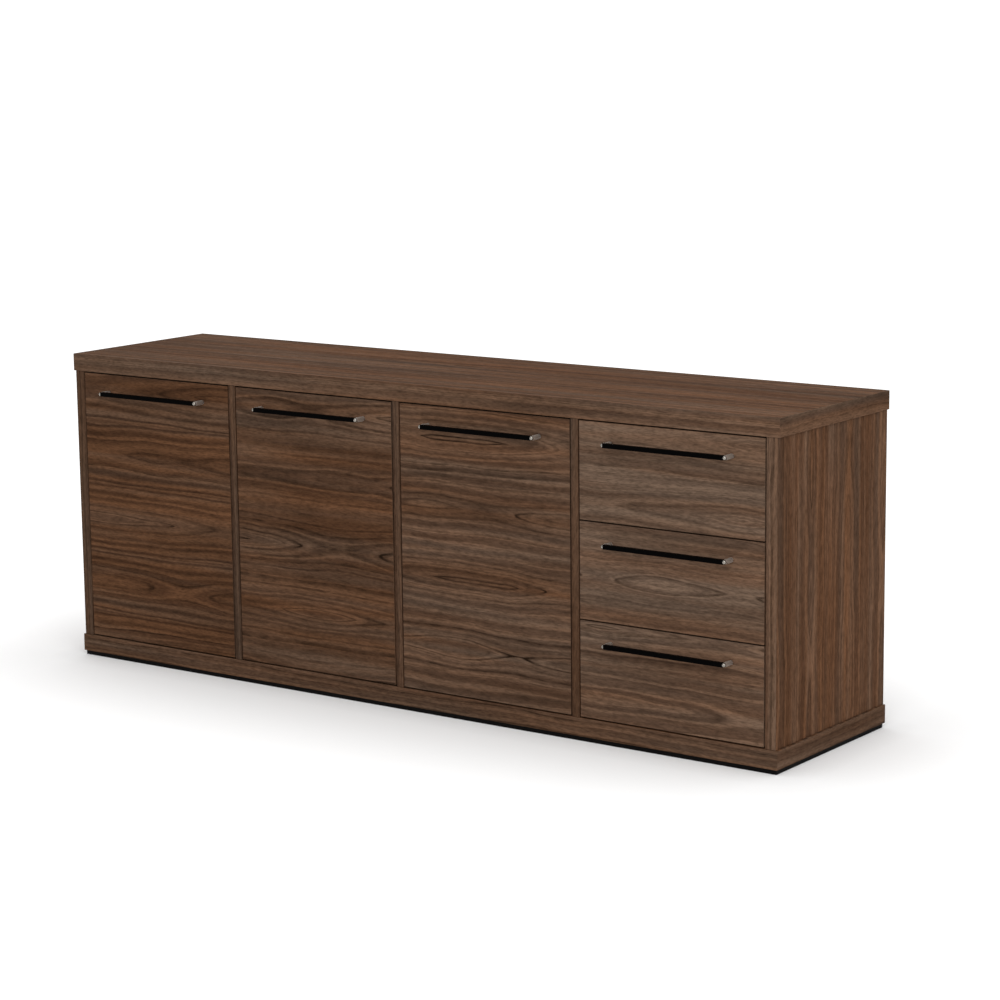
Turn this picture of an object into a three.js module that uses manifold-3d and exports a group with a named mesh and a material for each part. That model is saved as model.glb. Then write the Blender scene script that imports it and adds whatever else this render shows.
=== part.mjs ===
// Office credenza: three hinged doors and a bank of three drawers between thick walnut slabs.
// Millimetres, +Z up, front towards -Y. The origin lies on the floor under the middle of the carcass.

import * as THREE from "three";
import { mergeVertices } from "three/addons/utils/BufferGeometryUtils.js";
import Module from "manifold-3d";

const wasm = await Module();
wasm.setup();

// Overall sizes.
const WIDTH = 1900;
const DEPTH = 450;
const TOP_THICKNESS = 40;
const BASE_THICKNESS = 40;
const OPENING_HEIGHT = 630;
const PLINTH_HEIGHT = 10;
const PLINTH_INSET = 4;

// Carcass panels. The slabs run past the carcass at the ends and at the front.
const SIDE_THICKNESS = 25;
const PARTITION_THICKNESS = 18;
const END_OVERHANG = 5;
const FRONT_OVERHANG = 2;
const DOOR_COUNT = 3;
const BACK_THICKNESS = 8;
const BACK_INSET = 12;
const GROOVE_DEPTH = 8;
const GROOVE_CLEARANCE = 0.3;
const GLUE_LINE = 0.2;

// One loose shelf in each cupboard, on four pins.
const SHELF_THICKNESS = 18;
const SHELF_SETBACK = 45;
const SHELF_BACK_CLEARANCE = 2;
const SHELF_END_CLEARANCE = 0.5;
const SHELF_RISE = 306;
const SHELF_PIN_RADIUS = 2.5;
const SHELF_PIN_REACH = 8;
const SHELF_PIN_INSET = 40;
const SHELF_PIN_BITE = 0.5;
const PIN_HOLE_DEPTH = 9;
const PIN_HOLE_CLEARANCE = 0.3;
const PIN_HOLE_PITCH = 64;

// Doors and drawer fronts, set flush between the panels.
const FRONT_THICKNESS = 18;
const FRONT_GAP = 3;
const DRAWER_COUNT = 3;

// Bar handles with a post at each end.
const HANDLE_CENTRES = 288;
const HANDLE_HEIGHT = 10;
const HANDLE_BAR_DEPTH = 10;
const HANDLE_POST_WIDTH = 10;
const HANDLE_PROJECTION = 32;
const HANDLE_DROP = 42;

// Concealed hinges: a cup with a cross pin in the door, a gooseneck arm on the panel.
const HINGE_INSET = 100;
const SWING_CLEARANCE = 0.4;
const CUP_RADIUS = 17.5;
const CUP_EDGE = 5;
const CUP_DEPTH = 13.5;
const CUP_WALL = 0.8;
const CUP_CLEARANCE = 0.3;
const CUP_FLANGE_RIM = 2;
const CUP_FLANGE_THICKNESS = 1;
const CUP_WING_WIDTH = 16;
const CUP_WING_HEIGHT = 58;
const HINGE_PIN_RADIUS = 1.5;
const HINGE_PIN_CLEARANCE = 0.3;
const ARM_EYE_WALL = 1.2;
const ARM_THICKNESS = 3.2;
const ARM_WIDTH = 10;
const ARM_CLEARANCE = 0.9;
const ARM_BODY = 8;
const ARM_REACH = 44;
const PLATE_THICKNESS = 2.5;
const PLATE_LENGTH = 20;
const PLATE_HEIGHT = 40;

// Drawer boxes on two-part side runners.
const RUNNER_SPACE = 12.7;
const RUNNER_SETBACK = 4;
const RUNNER_HEIGHT = 35;
const RUNNER_METAL = 1.5;
const RUNNER_DEPTH = 9;
const RUNNER_PLAY = 0.4;
const RUNNER_RISE = 40;
const BOX_BACK_CLEARANCE = 10;
const BOX_HEIGHT = 140;
const BOX_LIFT = 24;
const BOX_SIDE_THICKNESS = 12;
const BOX_BOTTOM_THICKNESS = 6;
const BOX_BOTTOM_RISE = 10;
const BOX_GROOVE_DEPTH = 6;

// Sizes that follow from those above.
const baseBottom = PLINTH_HEIGHT;
const baseTop = baseBottom + BASE_THICKNESS;
const openingTop = baseTop + OPENING_HEIGHT;
const slabFront = -DEPTH / 2;
const slabBack = DEPTH / 2;
const caseFront = slabFront + FRONT_OVERHANG;
const sideOuter = WIDTH / 2 - END_OVERHANG;
const sideInner = sideOuter - SIDE_THICKNESS;
const bayCount = DOOR_COUNT + 1;
const bayWidth = (2 * sideInner - DOOR_COUNT * PARTITION_THICKNESS) / bayCount;
const bayPitch = bayWidth + PARTITION_THICKNESS;
const backFront = slabBack - BACK_INSET - BACK_THICKNESS;
const frontWidth = bayWidth - 2 * FRONT_GAP;
const doorHeight = OPENING_HEIGHT - 2 * FRONT_GAP;
const drawerPitch = (OPENING_HEIGHT - FRONT_GAP) / DRAWER_COUNT;
const drawerHeight = drawerPitch - FRONT_GAP;
const boxWidth = bayWidth - 2 * RUNNER_SPACE;
const boxLength = backFront - BOX_BACK_CLEARANCE - caseFront - FRONT_THICKNESS;
const runnerLength = boxLength - RUNNER_SETBACK;

// The hinge pin stands in the middle of the door's thickness, just far enough from its edge for the
// edge's corners to swing past the panel.
const pinBehindFront = FRONT_THICKNESS / 2;
const pinSweep = FRONT_GAP - SWING_CLEARANCE;
const pinFromEdge = (pinBehindFront ** 2 - pinSweep ** 2) / (2 * pinSweep);
const pinFromPanel = pinFromEdge + FRONT_GAP;
const edgeRadius = Math.hypot(pinFromEdge, pinBehindFront);

// Finishes.
const walnut = { color: 0x5f4534, roughness: 0.5, metalness: 0 };
const blackBoard = { color: 0x0c0b0b, roughness: 0.6, metalness: 0 };
const boxBoard = { color: 0xb9ab98, roughness: 0.6, metalness: 0 };
const handleFinish = { color: 0x0a0908, roughness: 0.2, metalness: 0.6 };
const nickel = { color: 0xb4b2ad, roughness: 0.3, metalness: 1 };
const zincSteel = { color: 0x9b9ea1, roughness: 0.4, metalness: 1 };

function bayLeft(bay) {
  return -sideInner + bay * bayPitch;
}

function toSolid(geometry) {
  const bare = geometry.clone();
  bare.deleteAttribute("normal");
  bare.deleteAttribute("uv");
  const merged = mergeVertices(bare);
  const triangles = [];
  for (let i = 0; i < merged.index.count; i += 3) {
    const corners = [0, 1, 2].map((k) => merged.index.getX(i + k));
    if (new Set(corners).size === 3) {
      triangles.push(...corners);
    }
  }
  return new wasm.Manifold(new wasm.Mesh({
    numProp: 3,
    vertProperties: new Float32Array(merged.getAttribute("position").array),
    triVerts: new Uint32Array(triangles),
  }));
}

function toGeometry(solid) {
  const mesh = solid.getMesh();
  const geometry = new THREE.BufferGeometry();
  geometry.setAttribute("position", new THREE.BufferAttribute(new Float32Array(mesh.vertProperties), 3));
  geometry.setIndex(Array.from(mesh.triVerts));
  geometry.computeVertexNormals();
  return geometry;
}

function carve(geometry, cuts) {
  return toGeometry(cuts.reduce((solid, cut) => solid.subtract(toSolid(cut)), toSolid(geometry)));
}

function join(first, ...rest) {
  return toGeometry(rest.reduce((solid, next) => solid.add(toSolid(next)), toSolid(first)));
}

function block([x0, x1], [y0, y1], [z0, z1]) {
  const geometry = new THREE.BoxGeometry(x1 - x0, y1 - y0, z1 - z0);
  return geometry.translate((x0 + x1) / 2, (y0 + y1) / 2, (z0 + z1) / 2);
}

function rod(radius, length, sides) {
  return new THREE.CylinderGeometry(radius, radius, length, sides);
}

// A flat outline given as points, drawn out along Z and centred on it.
function drawnOut(points, height) {
  const shape = new THREE.Shape(points.map(([x, y]) => new THREE.Vector2(x, y)));
  const geometry = new THREE.ExtrudeGeometry(shape, { depth: height, bevelEnabled: false });
  return geometry.translate(0, 0, -height / 2);
}

function polar(radius, degrees) {
  const angle = THREE.MathUtils.degToRad(degrees);
  return [radius * Math.cos(angle), radius * Math.sin(angle)];
}

function place(parent, name, geometry, finish, [x, y, z] = [0, 0, 0]) {
  const mesh = new THREE.Mesh(geometry, new THREE.MeshStandardMaterial(finish));
  mesh.name = name;
  mesh.position.set(x, y, z);
  parent.add(mesh);
}

const credenza = new THREE.Group();
const carcass = new THREE.Group();
credenza.add(carcass);

// Plinth board: a black board set back under the base slab, which lifts it off the floor.
place(carcass, "plinth_board", block(
  [-WIDTH / 2 + PLINTH_INSET, WIDTH / 2 - PLINTH_INSET],
  [slabFront + PLINTH_INSET, slabBack - PLINTH_INSET],
  [0, PLINTH_HEIGHT - GLUE_LINE],
), blackBoard);

// Base and top slabs, each with a groove for the back panel in the face towards the carcass.
function backGroove(z) {
  return block(
    [-sideInner - GROOVE_DEPTH, sideInner + GROOVE_DEPTH],
    [backFront - GROOVE_CLEARANCE, backFront + BACK_THICKNESS + GROOVE_CLEARANCE],
    z,
  );
}
place(carcass, "base_panel", carve(
  block([-WIDTH / 2, WIDTH / 2], [slabFront, slabBack], [baseBottom, baseTop]),
  [backGroove([baseTop - GROOVE_DEPTH, baseTop + 1])],
), walnut);
place(carcass, "top_panel", carve(
  block([-WIDTH / 2, WIDTH / 2], [slabFront, slabBack], [openingTop, openingTop + TOP_THICKNESS]),
  [backGroove([openingTop - 1, openingTop + GROOVE_DEPTH])],
), walnut);

// Rows of shelf-pin holes, bored from one face of an upright. toPanel is the way into the panel.
const shelfFront = caseFront + SHELF_SETBACK;
const shelfBack = backFront - SHELF_BACK_CLEARANCE;
const shelfUnderside = baseTop + SHELF_RISE;
const pinRows = [shelfFront + SHELF_PIN_INSET, shelfBack - SHELF_PIN_INSET];
const pinHeight = shelfUnderside - SHELF_PIN_RADIUS + SHELF_PIN_BITE;
function pinHoles(face, toPanel) {
  const holes = [];
  for (const row of pinRows) {
    for (const step of [-1, 0, 1]) {
      const hole = rod(SHELF_PIN_RADIUS + PIN_HOLE_CLEARANCE, PIN_HOLE_DEPTH + 1, 12).rotateZ(Math.PI / 2);
      const middle = face + toPanel * (PIN_HOLE_DEPTH - 1) / 2;
      holes.push(hole.translate(middle, row, pinHeight + step * PIN_HOLE_PITCH));
    }
  }
  return holes;
}

// Side panels, between the slabs, grooved for the back panel. The left one carries a shelf.
const uprightHeight = [baseTop + GLUE_LINE, openingTop - GLUE_LINE];
place(carcass, "left_side_panel", carve(
  block([-sideOuter, -sideInner], [caseFront, slabBack], uprightHeight),
  [backGroove([baseBottom, openingTop + TOP_THICKNESS]), ...pinHoles(-sideInner, -1)],
), walnut);
place(carcass, "right_side_panel", carve(
  block([sideInner, sideOuter], [caseFront, slabBack], uprightHeight),
  [backGroove([baseBottom, openingTop + TOP_THICKNESS])],
), walnut);

// Partitions, from the front edge to the back panel. The last one has no shelf on its drawer side.
for (let i = 1; i <= DOOR_COUNT; i += 1) {
  const right = bayLeft(i);
  const left = right - PARTITION_THICKNESS;
  const holes = pinHoles(left, 1);
  if (i < DOOR_COUNT) {
    holes.push(...pinHoles(right, -1));
  }
  place(carcass, `partition_${i}`, carve(
    block([left, right], [caseFront, backFront - GLUE_LINE], uprightHeight),
    holes,
  ), walnut);
}

// Back panel, held in the grooves all round.
const backTongue = GROOVE_DEPTH - GROOVE_CLEARANCE;
place(carcass, "back_panel", block(
  [-sideInner - backTongue, sideInner + backTongue],
  [backFront, backFront + BACK_THICKNESS],
  [baseTop - backTongue, openingTop + backTongue],
), walnut);

// Shelves, each a board with the four pins that it rests on.
for (let bay = 0; bay < DOOR_COUNT; bay += 1) {
  const left = bayLeft(bay);
  const right = left + bayWidth;
  const board = block(
    [left + SHELF_END_CLEARANCE, right - SHELF_END_CLEARANCE],
    [shelfFront, shelfBack],
    [shelfUnderside, shelfUnderside + SHELF_THICKNESS],
  );
  const pins = [];
  for (const face of [left, right]) {
    for (const row of pinRows) {
      const pin = rod(SHELF_PIN_RADIUS, 2 * SHELF_PIN_REACH, 12).rotateZ(Math.PI / 2);
      pins.push(pin.translate(face, row, pinHeight));
    }
  }
  place(carcass, `shelf_${bay + 1}`, join(board, ...pins), walnut);
}

// A bar handle: one bar bent back at both ends into posts. Its origin is on the front it stands on.
const handleHalf = (HANDLE_CENTRES + HANDLE_POST_WIDTH) / 2;
const handleInside = handleHalf - HANDLE_POST_WIDTH;
const barBack = -HANDLE_PROJECTION + HANDLE_BAR_DEPTH;
function handle() {
  return drawnOut([
    [-handleHalf, -GLUE_LINE],
    [-handleHalf, -HANDLE_PROJECTION],
    [handleHalf, -HANDLE_PROJECTION],
    [handleHalf, -GLUE_LINE],
    [handleInside, -GLUE_LINE],
    [handleInside, barBack],
    [-handleInside, barBack],
    [-handleInside, -GLUE_LINE],
  ], HANDLE_HEIGHT);
}

// Hinge cup: a flanged cup sunk in the door's back, with the hinge pin across it. Its origin is the
// centre of the cup, on the back of the door.
const cupFromPin = CUP_EDGE + CUP_RADIUS - pinFromEdge;
const cupOuter = CUP_RADIUS - CUP_CLEARANCE;
const cupInner = cupOuter - CUP_WALL;
const cupBottom = -CUP_DEPTH + GLUE_LINE;
const flangeRadius = CUP_RADIUS + CUP_FLANGE_RIM;
const flangeTop = GLUE_LINE + CUP_FLANGE_THICKNESS;
function hingeCup() {
  const profile = [
    [0, cupBottom],
    [cupOuter, cupBottom],
    [cupOuter, GLUE_LINE],
    [flangeRadius, GLUE_LINE],
    [flangeRadius, flangeTop],
    [cupInner, flangeTop],
    [cupInner, cupBottom + CUP_WALL],
    [0, cupBottom + CUP_WALL],
  ];
  const shell = new THREE.LatheGeometry(profile.map(([r, y]) => new THREE.Vector2(r, y)), 32);
  const wings = carve(
    block(
      [-CUP_WING_WIDTH / 2, CUP_WING_WIDTH / 2],
      [GLUE_LINE, flangeTop],
      [-CUP_WING_HEIGHT / 2, CUP_WING_HEIGHT / 2],
    ),
    [rod(cupOuter, 4 * flangeTop, 32)],
  );
  const pin = rod(HINGE_PIN_RADIUS, 2 * cupOuter, 16).rotateX(Math.PI / 2);
  pin.translate(-cupFromPin, pinBehindFront - FRONT_THICKNESS, 0);
  const inside = rod(cupOuter - CUP_WALL / 2, 2 * CUP_DEPTH, 32);
  const pinInCup = toGeometry(toSolid(pin).intersect(toSolid(inside)));
  return join(shell, wings, pinInCup);
}

// Hinge arm: an eye on the pin, a gooseneck that clears the edge of the open door, and a body with
// a screw plate on the panel. Its origin is the pin.
const eyeHole = HINGE_PIN_RADIUS + HINGE_PIN_CLEARANCE;
const eyeRadius = eyeHole + ARM_EYE_WALL;
const neckInner = edgeRadius + ARM_CLEARANCE;
const neckOuter = neckInner + ARM_THICKNESS;
const neckStart = 4;
const neckEnd = 118;
const spokeAngle = 8;
const panelFace = -pinFromPanel + GLUE_LINE;
function hingeArm() {
  const eye = rod(eyeRadius, ARM_WIDTH, 16).rotateX(Math.PI / 2);
  const spoke = block([0, neckOuter - 0.5], [-ARM_THICKNESS / 2, ARM_THICKNESS / 2], [-ARM_WIDTH / 2, ARM_WIDTH / 2]);
  spoke.rotateZ(THREE.MathUtils.degToRad(spokeAngle));
  const outline = [];
  const steps = 10;
  for (let i = 0; i <= steps; i += 1) {
    outline.push(polar(neckOuter, neckStart + (neckEnd - neckStart) * i / steps));
  }
  outline.push([panelFace + ARM_BODY, neckOuter + ARM_BODY]);
  outline.push([panelFace + ARM_BODY, neckOuter + ARM_REACH]);
  outline.push([panelFace, neckOuter + ARM_REACH]);
  outline.push([panelFace, neckInner]);
  for (let i = steps; i >= 0; i -= 1) {
    outline.push(polar(neckInner, neckStart + (neckEnd - neckStart) * i / steps));
  }
  const neck = drawnOut(outline, ARM_WIDTH);
  const plateMiddle = neckOuter + ARM_REACH / 2;
  const plate = block(
    [panelFace, panelFace + PLATE_THICKNESS],
    [plateMiddle - PLATE_LENGTH / 2, plateMiddle + PLATE_LENGTH / 2],
    [-PLATE_HEIGHT / 2, PLATE_HEIGHT / 2],
  );
  const hole = rod(eyeHole, 2 * ARM_WIDTH, 16).rotateX(Math.PI / 2);
  return carve(join(eye, spoke, neck, plate), [hole]);
}

// Doors, each hung on its left edge. A door's group stands on its hinge axis.
for (let bay = 0; bay < DOOR_COUNT; bay += 1) {
  const name = `door_${bay + 1}`;
  const hinge = [bayLeft(bay) + pinFromPanel, caseFront + pinBehindFront, baseTop + FRONT_GAP];
  const backFace = FRONT_THICKNESS - pinBehindFront;
  const door = new THREE.Group();
  door.position.set(...hinge);
  credenza.add(door);

  const bores = [];
  for (const [level, height] of [["lower", HINGE_INSET], ["upper", doorHeight - HINGE_INSET]]) {
    const bore = rod(CUP_RADIUS, CUP_DEPTH + 1, 32);
    bores.push(bore.translate(cupFromPin, backFace - (CUP_DEPTH - 1) / 2, height));
    place(door, `${name}_${level}_hinge_cup`, hingeCup(), nickel, [cupFromPin, backFace, height]);
    const armPosition = [hinge[0], hinge[1], hinge[2] + height];
    place(carcass, `${name}_${level}_hinge_arm`, hingeArm(), nickel, armPosition);
  }
  place(door, name, carve(block(
    [-pinFromEdge, frontWidth - pinFromEdge],
    [-pinBehindFront, backFace],
    [0, doorHeight],
  ), bores), walnut);
  place(door, `${name}_handle`, handle(), handleFinish, [
    frontWidth / 2 - pinFromEdge,
    -pinBehindFront,
    doorHeight - HANDLE_DROP,
  ]);
}

// One member of a runner: a channel drawn out along Y, open towards the drawer (turn 1) or towards
// the panel (turn -1). Its origin is the middle of the back of its web, at its front end.
function channel(height, depth, turn) {
  const half = height / 2;
  const section = drawnOut([
    [0, -half],
    [turn * depth, -half],
    [turn * depth, RUNNER_METAL - half],
    [turn * RUNNER_METAL, RUNNER_METAL - half],
    [turn * RUNNER_METAL, half - RUNNER_METAL],
    [turn * depth, half - RUNNER_METAL],
    [turn * depth, half],
    [0, half],
  ], runnerLength);
  return section.rotateX(Math.PI / 2).translate(0, runnerLength / 2, 0);
}
const slideHeight = RUNNER_HEIGHT - 2 * (RUNNER_METAL + RUNNER_PLAY);
const slideDepth = RUNNER_SPACE - 2 * GLUE_LINE - RUNNER_METAL - 3 * RUNNER_PLAY;

// Drawers, from the top down. A drawer's group stands at the middle of its front's lower edge.
for (let i = 0; i < DRAWER_COUNT; i += 1) {
  const name = `drawer_${i + 1}`;
  const drawer = new THREE.Group();
  const middle = bayLeft(DOOR_COUNT) + bayWidth / 2;
  const bottom = openingTop - (i + 1) * drawerPitch;
  drawer.position.set(middle, caseFront, bottom);
  credenza.add(drawer);

  const boxFront = FRONT_THICKNESS + GLUE_LINE;
  const boxBack = FRONT_THICKNESS + boxLength;
  const outer = boxWidth / 2;
  const inner = outer - BOX_SIDE_THICKNESS;
  const panelBottom = BOX_LIFT + BOX_BOTTOM_RISE;
  const panelTop = panelBottom + BOX_BOTTOM_THICKNESS;
  const groove = block(
    [-inner - BOX_GROOVE_DEPTH, inner + BOX_GROOVE_DEPTH],
    [FRONT_THICKNESS - BOX_GROOVE_DEPTH, boxBack + 1],
    [panelBottom - GROOVE_CLEARANCE, panelTop + GROOVE_CLEARANCE],
  );
  place(drawer, `${name}_front`, carve(
    block([-frontWidth / 2, frontWidth / 2], [0, FRONT_THICKNESS], [0, drawerHeight]),
    [groove],
  ), walnut);
  for (const [hand, turn] of [["left", -1], ["right", 1]]) {
    const across = [turn * outer, turn * inner].sort((a, b) => a - b);
    place(drawer, `${name}_${hand}_side`, carve(
      block(across, [boxFront, boxBack], [BOX_LIFT, BOX_LIFT + BOX_HEIGHT]),
      [groove],
    ), boxBoard);
  }
  const tongue = BOX_GROOVE_DEPTH - GROOVE_CLEARANCE;
  place(drawer, `${name}_bottom`, block(
    [-inner - tongue, inner + tongue],
    [FRONT_THICKNESS - tongue, boxBack],
    [panelBottom, panelTop],
  ), boxBoard);
  place(drawer, `${name}_back`, block(
    [-inner + GLUE_LINE, inner - GLUE_LINE],
    [boxBack - BOX_SIDE_THICKNESS, boxBack],
    [panelTop + GLUE_LINE, BOX_LIFT + BOX_HEIGHT],
  ), boxBoard);
  place(drawer, `${name}_handle`, handle(), handleFinish, [0, 0, drawerHeight - HANDLE_DROP]);

  const runnerFront = FRONT_THICKNESS + RUNNER_SETBACK;
  const runnerHeight = BOX_LIFT + RUNNER_RISE;
  for (const [hand, turn] of [["left", 1], ["right", -1]]) {
    const panel = -turn * bayWidth / 2;
    place(carcass, `${name}_${hand}_runner`, channel(RUNNER_HEIGHT, RUNNER_DEPTH, turn), zincSteel, [
      middle + panel + turn * GLUE_LINE,
      caseFront + runnerFront,
      bottom + runnerHeight,
    ]);
    place(drawer, `${name}_${hand}_slide`, channel(slideHeight, slideDepth, -turn), zincSteel, [
      panel + turn * (RUNNER_SPACE - GLUE_LINE),
      runnerFront,
      runnerHeight,
    ]);
  }
}

export default credenza;
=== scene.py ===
import math

import bmesh
import bpy
from mathutils import Matrix, Vector


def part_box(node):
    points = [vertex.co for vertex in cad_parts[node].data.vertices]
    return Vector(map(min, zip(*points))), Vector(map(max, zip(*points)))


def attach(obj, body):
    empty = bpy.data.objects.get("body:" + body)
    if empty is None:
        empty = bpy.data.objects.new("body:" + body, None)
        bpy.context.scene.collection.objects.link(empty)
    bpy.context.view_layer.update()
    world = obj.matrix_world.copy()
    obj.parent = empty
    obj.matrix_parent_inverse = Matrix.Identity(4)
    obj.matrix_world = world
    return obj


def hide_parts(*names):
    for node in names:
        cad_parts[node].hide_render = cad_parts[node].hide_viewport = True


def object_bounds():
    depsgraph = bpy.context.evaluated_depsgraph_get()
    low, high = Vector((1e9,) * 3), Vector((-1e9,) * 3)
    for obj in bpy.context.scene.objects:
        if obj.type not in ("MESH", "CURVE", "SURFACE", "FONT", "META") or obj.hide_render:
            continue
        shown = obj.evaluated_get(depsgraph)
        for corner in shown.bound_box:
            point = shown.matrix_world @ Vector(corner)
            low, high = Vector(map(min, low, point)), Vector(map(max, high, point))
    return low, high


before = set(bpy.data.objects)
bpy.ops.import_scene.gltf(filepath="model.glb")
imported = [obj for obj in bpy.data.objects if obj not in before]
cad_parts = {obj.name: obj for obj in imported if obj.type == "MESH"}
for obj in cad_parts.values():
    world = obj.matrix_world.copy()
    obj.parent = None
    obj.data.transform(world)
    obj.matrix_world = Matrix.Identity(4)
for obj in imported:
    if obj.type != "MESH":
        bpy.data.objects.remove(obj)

cad_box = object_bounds()

# Plinth board: a near-black fibreboard set back under the base slab, which lifts the walnut off
# the floor and shows only as a dark line. It is glued and screwed to the slab from below.
PLINTH_EASE = 0.0008
MERGE_DISTANCE = 1e-6  # corners nearer than this are one corner
FLAT_ANGLE = 0.01      # faces turned less than this from each other are one flat face
BOX_TOLERANCE = 2e-5   # a corner this near a side of its box lies on that side


def linear(code):
    channels = [int(code[i:i + 2], 16) / 255 for i in (1, 3, 5)]
    return (*[c / 12.92 if c <= 0.04045 else ((c + 0.055) / 1.055) ** 2.4 for c in channels], 1)


def add_node(tree, kind, links=None, **settings):
    node = tree.nodes.new(kind)
    for name, value in settings.items():
        setattr(node, name, value)
    for socket, value in (links or {}).items():
        if isinstance(value, bpy.types.NodeSocket):
            tree.links.new(value, node.inputs[socket])
        else:
            node.inputs[socket].default_value = value
    return node


def new_material(name):
    material = bpy.data.materials.new(name)
    material.use_nodes = True
    tree = material.node_tree
    tree.nodes.clear()
    surface = add_node(tree, "ShaderNodeBsdfPrincipled")
    add_node(tree, "ShaderNodeOutputMaterial", {"Surface": surface.outputs[0]})
    return material, tree, surface


def two_tone(tree, surface, pattern, dark, light, smooth, dull):
    """Takes the surface from dark to light, and its roughness from smooth to dull, along a pattern."""
    shade = add_node(tree, "ShaderNodeValToRGB", {0: pattern})
    shade.color_ramp.elements[0].color = linear(dark)
    shade.color_ramp.elements[1].color = linear(light)
    rough = add_node(tree, "ShaderNodeMapRange", {0: pattern, 3: smooth, 4: dull})
    tree.links.new(shade.outputs[0], surface.inputs["Base Color"])
    tree.links.new(rough.outputs[0], surface.inputs["Roughness"])


def near_black_fibreboard():
    # Near-black on fibreboard: nearly no colour, a dull sheen, and a 3 mm peel in tone and bump.
    material, tree, surface = new_material("near_black_fibreboard")
    place = add_node(tree, "ShaderNodeTexCoord").outputs["Object"]
    peel = add_node(tree, "ShaderNodeTexNoise", {"Vector": place, "Scale": 1 / 0.003, "Detail": 2}).outputs[0]
    two_tone(tree, surface, peel, "#040303", "#0b0a09", 0.6, 0.8)
    bump = add_node(tree, "ShaderNodeBump", {"Height": peel, "Strength": 0.2, "Distance": 0.0002})
    tree.links.new(bump.outputs[0], surface.inputs["Normal"])
    surface.inputs["Specular IOR Level"].default_value = 0.08
    return material


def merged_copy(node):
    """A copy of a CAD node's mesh with its corners merged and its flat faces made whole."""
    shape = bmesh.new()
    shape.from_mesh(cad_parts[node].data)
    bmesh.ops.remove_doubles(shape, verts=shape.verts, dist=MERGE_DISTANCE)
    bmesh.ops.dissolve_limit(shape, angle_limit=FLAT_ANGLE, verts=shape.verts, edges=shape.edges)
    return shape


def ease_edges(shape, edges, ease, steps):
    rounded = bmesh.ops.bevel(
        shape, geom=edges, offset=ease, segments=steps, profile=0.5, affect="EDGES", clamp_overlap=True,
    )
    for face in rounded["faces"]:
        face.smooth = True


def eased_copy(node, ease, steps=2):
    """A merged copy of a CAD node whose outer box edges are eased, as sanding leaves them."""
    low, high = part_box(node)
    shape = merged_copy(node)

    def sides(vertex):
        return {
            (axis, end)
            for axis in range(3)
            for end, limit in ((0, low), (1, high))
            if abs(vertex.co[axis] - limit[axis]) < BOX_TOLERANCE
        }

    outer = [e for e in shape.edges if len(sides(e.verts[0]) & sides(e.verts[1])) >= 2]
    ease_edges(shape, outer, ease, steps)
    return shape


def finish_piece(shape, name, material, body, slot, *nodes):
    mesh = bpy.data.meshes.new(name)
    shape.to_mesh(mesh)
    shape.free()
    mesh.materials.append(material)
    piece = bpy.data.objects.new(name, mesh)
    bpy.context.scene.collection.objects.link(piece)
    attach(piece, body)
    if nodes:
        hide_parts(*nodes)
    return piece


plinth = eased_copy("plinth_board", PLINTH_EASE)
finish_piece(plinth, "plinth_board_near_black", near_black_fibreboard(), "carcass", "plinth", "plinth_board")

# Base and top slabs: 40 mm boards faced with dark walnut veneer and satin lacquer, with the grain
# along their length and round their edges. They clamp the uprights between them.
SLAB_EASE = 0.0012
SLAB_MIDDLE = 0.07    # where across a slab one leaf has its middle
LEAF_WIDTH = 0.152    # one veneer leaf, sliced through the crown of the log
RING_WIDTH = 0.0150   # one year's growth, as wide as it shows at the photograph's distance
WANDER = 0.016        # how far sideways the fibres can stray in all
ARCH_DEPTH = 0.03     # how far the cut can dip into the log or rise from it
ARCH_REACH = 0.036    # how far from a leaf's middle the arches fade
ARCH_TIP = 0.006      # how round the tips of the arches are
EDGING_PLACE = 0.024  # where in a leaf the strip for an edge is cut
SIDE_SHIFT = 0.31     # parts the figure of a board's two faces
FACING_SHIFT = 1.7    # parts the figure of faces that look along different axes


def leaf_place(tree, grain, across):
    # The fibres wander by a few millimetres, over 450 mm along the grain and 170 mm across it.
    wander = add_node(
        tree, "ShaderNodeVectorMath", {0: grain, 1: (2.2, 6.0, 3.1)}, operation="MULTIPLY",
    ).outputs[0]
    wander = add_node(
        tree, "ShaderNodeTexNoise", {"Vector": wander, "Scale": 1, "Detail": 2, "Roughness": 0.45},
    ).outputs[0]
    across = add_node(
        tree, "ShaderNodeMath", {0: wander, 1: WANDER, 2: across}, operation="MULTIPLY_ADD",
    ).outputs[0]

    # Where a point lies in its leaf, from the leaf's middle.
    centred = 0.5 - WANDER / 2 / LEAF_WIDTH
    leaves = add_node(
        tree, "ShaderNodeMath", {0: across, 1: 1 / LEAF_WIDTH, 2: centred}, operation="MULTIPLY_ADD",
    ).outputs[0]
    number = add_node(tree, "ShaderNodeMath", {0: leaves}, operation="FLOOR").outputs[0]
    inside = add_node(tree, "ShaderNodeMath", {0: leaves}, operation="FRACT").outputs[0]
    off_middle = add_node(tree, "ShaderNodeMath", {0: inside, 1: 0.5}, operation="SUBTRACT").outputs[0]
    off_middle = add_node(
        tree, "ShaderNodeMath", {0: off_middle, 1: LEAF_WIDTH}, operation="MULTIPLY",
    ).outputs[0]
    return across, number, off_middle


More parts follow.
